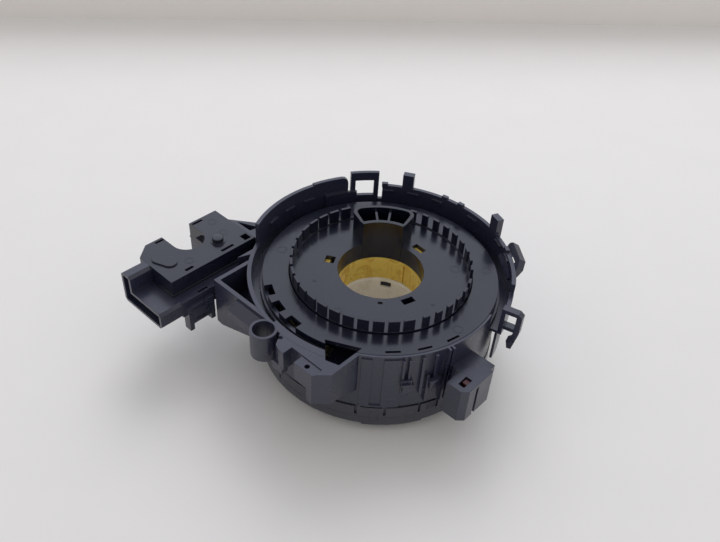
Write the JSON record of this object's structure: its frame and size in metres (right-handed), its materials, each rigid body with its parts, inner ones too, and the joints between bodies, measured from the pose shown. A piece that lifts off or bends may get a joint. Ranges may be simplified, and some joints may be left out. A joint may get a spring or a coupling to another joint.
{
  "type": "steering clock spring",
  "caption": "Round steering column clock spring: a housing with a turning code ring and cancel cam, a side arm with a connector and a downward socket.",
  "frame": {"origin": "on the bore's axis, in the plane of the rotor's feet", "axes": "+Z along the bore's axis to the face with the code ring, -X the way the arm's connector opens"},
  "size_m": [0.13, 0.1389, 0.0547],
  "materials": {
    "black_housing": "satin moulded",
    "black_gloss": "semi-gloss moulded",
    "amber_plastic": "greasy amber",
    "natural_plastic": "natural moulded",
    "yellow_plastic": "moulded",
    "grey_plastic": "moulded",
    "tin_plate": "tin plated",
    "cable_film": "clear film over copper",
    "clear_film": "polyester film",
    "red_plastic": "moulded"
  },
  "bodies": {
    "stator": {"outer_housing": "black_housing", "cover_seat": "black_housing", "pocket_shelf": "black_housing", "channel_floor": "black_housing", "collar_skirt": "black_housing", "collar_wall": "black_housing", "side_frame": "black_housing", "front_bracket": "black_housing", "plug_box": "black_housing", "cover_disc": "black_gloss", "lower_lid": "black_housing", "lid_rim": "black_housing", "lid_lip": "black_housing", "slip_film": "clear_film", "outer_cable_block": "natural_plastic", "flat_cable": "cable_film", "arm_cover": "black_gloss", "connector_housing": "black_housing", "connector_terminals": "tin_plate", "side_terminals": "tin_plate"},
    "rotor": {"rotor_disc": "black_gloss", "code_ring": "black_gloss", "rotor_drum": "black_housing", "cancel_cam": "black_gloss", "hub_sleeve": "amber_plastic", "base_ring": "natural_plastic", "rotor_base": "black_housing", "airbag_socket": "yellow_plastic", "switch_socket": "grey_plastic", "airbag_terminals": "tin_plate", "switch_terminals": "tin_plate", "inner_cable_block": "natural_plastic"},
    "red_lock": {"lock_slider": "red_plastic"}
  },
  "joints": [
    {"name": "rotor_spin", "type": "hinge", "parent": "stator", "child": "rotor", "pos_m": [0, 0, 0], "axis": [0, 0, 1], "range_deg": [-900, 900], "deforming": ["flat_cable"]},
    {"name": "lock_slide", "type": "slide", "parent": "stator", "child": "red_lock", "axis": [-1, 0, 0], "range_m": [0, 0.002]}
  ]
}
